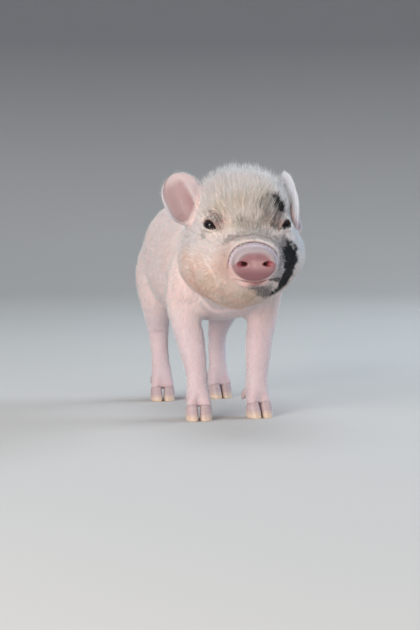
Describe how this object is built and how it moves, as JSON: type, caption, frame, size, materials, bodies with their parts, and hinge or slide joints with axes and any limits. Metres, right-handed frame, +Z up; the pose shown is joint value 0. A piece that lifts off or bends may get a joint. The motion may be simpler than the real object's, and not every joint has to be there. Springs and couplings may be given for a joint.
{
  "type": "miniature pig",
  "caption": "Life-size model of a very young miniature piglet, standing on four cloven feet with its ears up and its head turned a little",
  "frame": {"origin": "on the floor, under the middle of the animal's bounding box", "axes": "+Z up; the piglet looks along -Y, so its length runs along Y; +X is its left side"},
  "size_m": [0.0962, 0.2516, 0.1655],
  "materials": {
    "skin": "soft, short cream-white coat over pink skin",
    "nose": "bare, slightly moist pink skin",
    "eye": "wet, near-black brown",
    "horn": "smooth pale horn"
  },
  "bodies": {
    "root": {"head": "skin", "neck": "skin", "torso": "skin", "tail": "skin", "fore_leg_left": "skin", "fore_leg_right": "skin", "hind_leg_left": "skin", "hind_leg_right": "skin", "ear_left": "skin", "ear_right": "skin", "nose_disc": "nose", "eye_left": "eye", "eye_right": "eye", "fore_claw_left_inner": "horn", "fore_claw_left_outer": "horn", "fore_dewclaw_left_inner": "horn", "fore_dewclaw_left_outer": "horn", "fore_claw_right_inner": "horn", "fore_claw_right_outer": "horn", "fore_dewclaw_right_inner": "horn", "fore_dewclaw_right_outer": "horn", "hind_claw_left_inner": "horn", "hind_claw_left_outer": "horn", "hind_dewclaw_left_inner": "horn", "hind_dewclaw_left_outer": "horn", "hind_claw_right_inner": "horn", "hind_claw_right_outer": "horn", "hind_dewclaw_right_inner": "horn", "hind_dewclaw_right_outer": "horn"}
  },
  "joints": []
}
